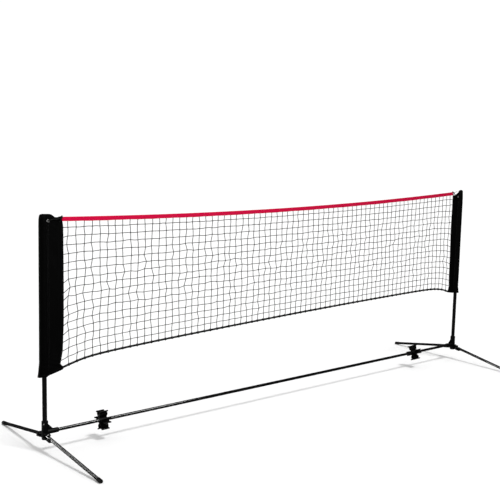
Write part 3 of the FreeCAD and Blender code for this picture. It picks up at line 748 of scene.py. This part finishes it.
    def ring(self, height, inset=0.0, lift=0.0):
        """One closed loop of points round the sleeve at a height."""
        stations = self.stations()
        front = self.point(stations, height, -1, inset, lift)
        rear = self.point(stations[::-1], height, 1, inset, lift)
        front[-1] = (front[-1] + rear[0]) / 2
        front[-1, 1] = 0.0
        return np.concatenate([front, rear[1:]])

    def heights(self):
        """Shares of the height: even on the body, close at the hem and in the crown."""
        span = self.top[1][1] - self.bottom[1][1]
        body = np.linspace(0, 1, int(span / ROW_STEP))
        hem = np.array(HEM_ROWS) / span
        crown = 1 - np.array(CROWN_ROWS) / span
        return np.unique(np.round(np.concatenate([body, hem, crown]), 5))


EYELET_IN = sum(corner.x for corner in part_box("eyelet_left")) / 2 + HUB_X
EYELET_Z = sum(corner.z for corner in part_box("eyelet_left")) / 2

SLEEVES = [
    Sleeve("left", 1,
           bottom=[(-0.030, 0.3640), (0.0, 0.3632), (0.018, 0.3632), (0.022, 0.3638), (0.050, 0.3712),
                   (0.085, 0.3800), (0.0985, 0.3845)],
           top=[(-0.0210, 1.1125), (-0.016, 1.1150), (-0.008, 1.1178), (0.0, 1.1180), (0.032, 1.1165),
                (0.044, 1.1130), (0.060, 1.1005), (0.076, 1.0990), (0.0985, 1.1005)],
           edge=[(0.381, 0.0950), (0.389, 0.0985), (0.396, 0.0980), (0.404, 0.0885), (0.412, 0.0825),
                 (0.425, 0.0865), (0.470, 0.0950), (0.600, 0.1015), (0.800, 0.1030), (1.060, 0.1020),
                 (1.085, 0.0970), (1.100, 0.0945)],
           radius=[(0.363, 0.0160), (0.450, 0.0164), (1.060, 0.0168), (1.090, 0.0163), (1.108, 0.0150)],
           stretch=1.24, shrink=0.85,
           outward=[(0.364, 0.0135), (0.380, 0.0105), (0.430, 0.0045), (0.600, 0.0030), (1.050, 0.0)],
           seed=1.7),
    Sleeve("right", -1,
           bottom=[(-0.030, 0.4470), (0.0, 0.4465), (0.018, 0.4468), (0.050, 0.4510), (0.079, 0.4560)],
           top=[(-0.0200, 1.1260), (-0.012, 1.1285), (0.001, 1.1285), (0.009, 1.1215),
                (0.030, 1.1085), (0.052, 1.0965), (0.064, 1.0935), (0.072, 1.0970), (0.079, 1.1030)],
           edge=[(0.455, 0.0775), (0.4625, 0.0785), (0.472, 0.0760), (0.485, 0.0705), (0.500, 0.0690),
                 (0.520, 0.0720), (0.600, 0.0755), (1.000, 0.0772), (1.060, 0.0768), (1.103, 0.0768)],
           radius=[(0.446, 0.0168), (0.490, 0.0160), (0.530, 0.0160), (1.040, 0.0164), (1.085, 0.0158),
                   (1.110, 0.0145)],
           stretch=1.24, shrink=0.85, outward=[(0.447, 0.0070), (0.490, 0.0)], seed=4.1),
]


def make_sleeve(shape, cloth, thread):
    """One sleeve: an outer and an inner skin of cloth joined at the hem and the crown, with its sewing."""
    heights = shape.heights()
    outer = [shape.ring(h) for h in heights]
    inner = [shape.ring(h, inset=CLOTH) for h in heights * INNER_TOP]
    rings = outer + inner[::-1]
    around = np.concatenate([[0], np.cumsum(np.linalg.norm(np.diff(outer[0], axis=0), axis=1))])
    around = np.append(around, around[-1] + 0.003)
    rows = [[(a, float(ring[0][2])) for a in around] for ring in rings + [rings[0]]]
    piece = skin_through(f"sleeve_cloth_{shape.side}", rings, cloth, rows)
    punch_eyelet(piece, shape)
    dress(piece, "net", "sleeve_fabric", f"net_sleeve_{shape.side}")
    extras = sleeve_sewing(shape, thread)
    return piece


def skin_through(name, rings, material, weave_rows):
    """A skin through rings that joins its last ring back to its first, such as cloth with a thickness."""
    count, sides = len(rings), len(rings[0])
    points = np.asarray(rings, float).reshape(-1, 3)
    faces, weave = [], []
    for i in range(count):
        nxt_row = (i + 1) % count
        for k in range(sides):
            nxt = (k + 1) % sides
            faces.append((i * sides + k, i * sides + nxt, nxt_row * sides + nxt, nxt_row * sides + k))
            weave.extend([weave_rows[i][k], weave_rows[i][k + 1], weave_rows[nxt_row][k + 1],
                          weave_rows[nxt_row][k]])
    return make_mesh(name, points, faces, material, weave)


def punch_eyelet(piece, shape):
    """Cuts the eyelet's hole through both faces of the flap."""
    centre_x = shape.pole_x + shape.inward * EYELET_IN
    turn = np.arange(24) * TAU / 24
    rings = [[(centre_x + EYELET_HOLE * math.cos(a), y, EYELET_Z + EYELET_HOLE * math.sin(a)) for a in turn]
             for y in (-PUNCH_REACH, PUNCH_REACH)]
    rows = [[(0.0, 0.0)] * 25] * 2
    punch = lofted("punch", rings, piece.data.materials[0], rows)
    cutter = piece.modifiers.new("punch", "BOOLEAN")
    cutter.operation = "DIFFERENCE"
    cutter.solver = "EXACT"
    cutter.object = punch
    bpy.context.view_layer.update()
    evaluated = piece.evaluated_get(bpy.context.evaluated_depsgraph_get())
    mesh = bpy.data.meshes.new_from_object(evaluated)
    piece.modifiers.clear()
    piece.data = mesh
    bpy.data.objects.remove(punch)


def sleeve_sewing(shape, thread):
    """The sleeve's stitches and the piping that closes its top."""
    span = shape.top[1][1] - shape.bottom[1][1]
    made = []
    for name, face in (("front", -1), ("rear", 1)):
        rise = np.linspace(0.03, 0.945, 260)
        for label, station in (("channel", 0.985), ("flap", 0.90), ("edge", 0.07)):
            line = shape.point(np.full_like(rise, station), rise, face, lift=STITCH_LIFT)
            row = stitches(f"stitches_{label}_{name}_{shape.side}", line, *SLEEVE_STITCH, thread)
            made.append(dress(row, "net", "sleeve_fabric"))
        hem_stations = np.linspace(0.03, 3.0, 60)
        height = np.full_like(hem_stations, (HEM_DEPTH - 0.002) / span)
        line = shape.point(hem_stations, height, face, lift=STITCH_LIFT)
        row = stitches(f"stitches_hem_{name}_{shape.side}", line, *SLEEVE_STITCH, thread)
        made.append(dress(row, "net", "sleeve_fabric"))
    around_top = np.linspace(3.0, 0.0, 70)
    seam = shape.point(around_top, np.full_like(around_top, 1.0), -1)
    seam[:, 1] = 0
    piping = tubes(f"top_piping_{shape.side}", [even_line(seam, 0.002)], PIPING_RADIUS, 10, thread)
    made.append(dress(piping, "net", "sleeve_fabric"))
    return made


# ---------------------------------------------------------------- ties

LACE = 0.0017


def overhand(centre, size):
    """A closed knotted loop of lace, pulled tight."""
    t = np.linspace(0, TAU, 61)
    x = np.sin(t) + 2 * np.sin(2 * t)
    z = np.cos(t) - 2 * np.cos(2 * t)
    y = -np.sin(3 * t)
    return np.array(centre) + np.stack([x * size / 3, y * size * 0.42, z * size / 3], axis=1)


def lace_line(points):
    """A smooth line of lace through the given points."""
    return even_line(spline_points(points, 10), 0.0016)


def lace_swell(u, angle):
    """The lace's twist, as a slight swelling."""
    return 1 + 0.05 * np.sin(TAU * u / 0.004 + 2 * angle)


TIES = {
    "left": dict(knot=(-1.4110, -0.0080, 1.0995), size=0.0056, lace=0.0026,
                 tails=[[(-1.411, -0.0080, 1.101), (-1.417, -0.0085, 1.1035), (-1.427, -0.0080, 1.1015),
                         (-1.440, -0.0060, 1.0950)],
                        [(-1.411, -0.0080, 1.097), (-1.4115, -0.0095, 1.0920), (-1.414, -0.0085, 1.0860),
                         (-1.418, -0.0070, 1.0800)]],
                 radii=(LACE, LACE)),
    "right": dict(knot=(1.4250, -0.0075, 1.1115), size=0.0046, lace=LACE,
                  tails=[[(1.425, -0.0075, 1.113), (1.433, -0.0090, 1.1180), (1.446, -0.0085, 1.1190),
                          (1.458, -0.0070, 1.1215)],
                         [(1.424, -0.0075, 1.114), (1.419, -0.0085, 1.1180), (1.414, -0.0080, 1.1205),
                          (1.409, -0.0070, 1.1235)]],
                  radii=(0.0012, LACE)),
}


def make_tie(side, lace):
    """The knot, its tails, and the lace's loop through the sleeve's eyelet and round the tape's end."""
    facts = TIES[side]
    x, y, z = facts["knot"]
    eyelet_x = sum(corner.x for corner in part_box(f"eyelet_{side}")) / 2
    inner = NET_LEFT if side == "left" else NET_RIGHT
    inward = 1 if side == "left" else -1
    loop = [(x, y + 0.001, z - 0.002), (x - inward * 0.012, -0.0062, z - 0.008),
            (eyelet_x + inward * 0.016, -0.0058, EYELET_Z + 0.006),
            (eyelet_x + inward * 0.004, -0.0052, EYELET_Z + 0.001),
            (eyelet_x, 0.0, EYELET_Z), (eyelet_x + inward * 0.004, 0.0052, EYELET_Z + 0.001),
            (eyelet_x + inward * 0.016, 0.0060, EYELET_Z + 0.006),
            (inner - inward * 0.006, 0.0060, z - 0.006),
            (inner + inward * 0.004, 0.0055, z + 0.004), (inner + inward * 0.003, 0.0, z + 0.0085),
            (x + inward * 0.002, -0.0050, z + 0.005), (x, y, z)]
    bent = [overhand(facts["knot"], facts["size"])]
    knot = tubes(f"tie_knot_{side}", bent, facts["lace"], 9, lace, lace_swell)
    dress(knot, "net", "cord", f"tie_{side}")
    loop_piece = tubes(f"tie_loop_{side}", [lace_line(loop)], LACE, 9, lace, lace_swell)
    dress(loop_piece, "net", "cord")
    ends = [knot, loop_piece]
    for number, (route, radius) in enumerate(zip(facts["tails"], facts["radii"]), start=1):
        tail = tubes(f"tie_tail_{number}_{side}", [lace_line(route)], radius, 9, lace)
        ends.append(dress(tail, "net", "cord"))
    return ends


# ---------------------------------------------------------------- finishes of the CAD parts

FINISHES = (
    (tube_paint, ("bar_section_", "lower_pole_", "upper_pole_", "leg_tube_")),
    (moulded_plastic, ("hub_", "storage_clip_", "lock_collar_", "lock_collet_", "mast_cap_",
                       "leg_pivot_plug_")),
    (foot_rubber, ("foot_cap_",)),
    (plated_steel, ("bar_button_", "socket_button_", "pole_button_", "bar_spring_", "socket_spring_",
                    "pole_spring_", "leg_rivets_", "eyelet_", "bar_ferrule_")),
)


def finish_cad_parts():
    """Gives the frame's own nodes their finishes, object by object, and leaves their meshes as they are."""
    for maker, starts in FINISHES:
        material = maker()
        for name in frame["nodes"]:
            if name.startswith(starts):
                for holder in bpy.data.objects[name].material_slots:
                    holder.link = "OBJECT"
                    holder.material = material


# ---------------------------------------------------------------- studio

def reflected_panel(name, place, target, width, height, brightness):
    """A soft panel that shows only as a highlight on what is glossy."""
    lamp = bpy.data.lights.new(name, "AREA")
    lamp.shape = "RECTANGLE"
    lamp.size, lamp.size_y = width, height
    lamp.energy = brightness * width * height * math.pi
    made = bpy.data.objects.new(name, lamp)
    made.location = place
    made.rotation_euler = (Vector(target) - Vector(place)).to_track_quat("-Z", "Y").to_euler()
    made.visible_diffuse = False
    made.visible_camera = False
    bpy.context.scene.collection.objects.link(made)


def make_floor():
    """A plain pale floor, wide enough to fill the view."""
    g = Graph("floor")
    cloud = g.noise(1.3, 3)
    g.finish(Base_Color=g.mix(cloud, grey(0.93), grey(0.95)), Roughness=0.9, Specular_IOR_Level=0.1)
    half = 40.0
    points = [(-half, -half, 0), (half, -half, 0), (half, half, 0), (-half, half, 0)]
    floor = make_mesh("floor", points, [(0, 1, 2, 3)], g.material)
    floor.visible_glossy = False


WHITE_BACKDROP, SOFT_FILL, GLOSS_FILL = 1.0, 0.66, 0.04
SUN_TOWARDS = (0.15, -0.45, 1.0)
PANELS = (
    ("panel_front", (0.3, -2.1, 2.9), (-1.0, 0, 0.1), 2.6, 0.40, 44),
    ("panel_rear", (-2.2, 2.0, 2.65), (-1.5, -0.25, 0.05), 0.32, 0.9, 20),
    ("panel_left", (-4.1, 2.0, 0.8), (-1.5, -0.25, 0.05), 1.2, 0.26, 20),
    ("panel_right", (-3.5, 2.8, 0.5), (1.5, -0.25, 0.05), 1.0, 0.9, 34),
)


def light_studio():
    """A white surround, one soft sun from overhead, and panels for the highlights on the gloss paint."""
    world = bpy.data.worlds.new("studio")
    world.use_nodes = True
    tree = world.node_tree
    background = tree.nodes["Background"]
    background.inputs["Color"].default_value = (1, 1, 1, 1)
    seen = tree.nodes.new("ShaderNodeLightPath")
    strength = tree.nodes.new("ShaderNodeMath")
    strength.operation = "ADD"
    for socket, ray, level in ((0, "Is Camera Ray", WHITE_BACKDROP), (1, "Is Diffuse Ray", SOFT_FILL)):
        share = tree.nodes.new("ShaderNodeMath")
        share.operation = "MULTIPLY_ADD"
        tree.links.new(seen.outputs[ray], share.inputs[0])
        share.inputs[1].default_value = level
        share.inputs[2].default_value = GLOSS_FILL / 2
        tree.links.new(share.outputs[0], strength.inputs[socket])
    tree.links.new(strength.outputs[0], background.inputs["Strength"])
    bpy.context.scene.world = world
    bpy.context.scene.view_settings.view_transform = "Standard"
    sun = bpy.data.lights.new("soft_sun", "SUN")
    sun.energy = 1.6
    sun.angle = math.radians(13)
    overhead = bpy.data.objects.new("soft_sun", sun)
    overhead.rotation_euler = Vector(SUN_TOWARDS).to_track_quat("Z", "Y").to_euler()
    bpy.context.scene.collection.objects.link(overhead)
    for panel in PANELS:
        reflected_panel(*panel)


CAMERA_PLACE = (-3.44845, -3.81564, 1.56763)
CAMERA_YAW, CAMERA_PITCH, CAMERA_ROLL = 0.69296, 0.14088, 0.02133
LENS, SENSOR = 67.07, 36


def make_camera():
    """The photograph's viewing angle, for a square picture."""
    yaw, pitch, roll = CAMERA_YAW, CAMERA_PITCH, CAMERA_ROLL
    level = math.cos(pitch)
    forward = Vector((math.sin(yaw) * level, math.cos(yaw) * level, -math.sin(pitch)))
    right = Vector((math.cos(yaw), -math.sin(yaw), 0))
    up = right.cross(forward)
    rolled_right = right * math.cos(roll) + up * math.sin(roll)
    rolled_up = up * math.cos(roll) - right * math.sin(roll)
    lens = bpy.data.cameras.new("camera")
    lens.sensor_width = SENSOR
    lens.lens = LENS
    camera = bpy.data.objects.new("camera", lens)
    axes = Matrix((rolled_right, rolled_up, -forward)).transposed().to_4x4()
    camera.matrix_world = Matrix.Translation(CAMERA_PLACE) @ axes
    bpy.context.scene.collection.objects.link(camera)
    bpy.context.scene.camera = camera


# ---------------------------------------------------------------- build

make_camera()
light_studio()
make_floor()

finish_cad_parts()

twine = twisted("twine", grey(0.003), grey(0.022), 0.004, 1, depth=0.0001, sheen=0.05)
braid = twisted("braid", grey(0.001), grey(0.006), 0.022, 4, depth=0.0002, both_ways=True, sheen=0.02)
lace = twisted("lace", grey(0.001), grey(0.008), 0.005, 2, depth=0.00015, both_ways=True, sheen=0.02)
sleeve_cloth = woven("sleeve_cloth", grey(0.0002), grey(0.0016), 0.0011, 0.66, 0.0, 0.03)
sleeve_thread = twisted("sleeve_thread", grey(0.002), grey(0.010), 0.0012, 1, depth=0.00008, sheen=0.0)
# the tape's cloth carries a painted shade, darker towards the net's right end
tape_cloth = woven("tape_cloth", (0.54, 0.0008, 0.040, 1), (0.80, 0.002, 0.066, 1), 0.0013, 0.70, 0.0, 0.04,
                   right_shade_tone=0.70)
tape_thread = twisted("tape_thread", (0.35, 0.002, 0.03, 1), (0.75, 0.02, 0.1, 1), 0.0012, 1, depth=0.00008)

make_cord(braid)
netting = make_netting(twine) + [make_hitches(twine)]
tape, tape_extras = make_tape(tape_cloth, tape_thread)
ties = make_tie("left", lace) + make_tie("right", lace)
for shape in SLEEVES:
    make_sleeve(shape, sleeve_cloth, sleeve_thread)
# the cloth, the netting and the cord cast no shadow, as in a studio where the light is flagged off them
for piece in bpy.context.scene.objects:
    if piece.name.startswith(("sleeve_cloth", "netting", "red_tape", "bottom_cord")):
        piece.visible_shadow = False
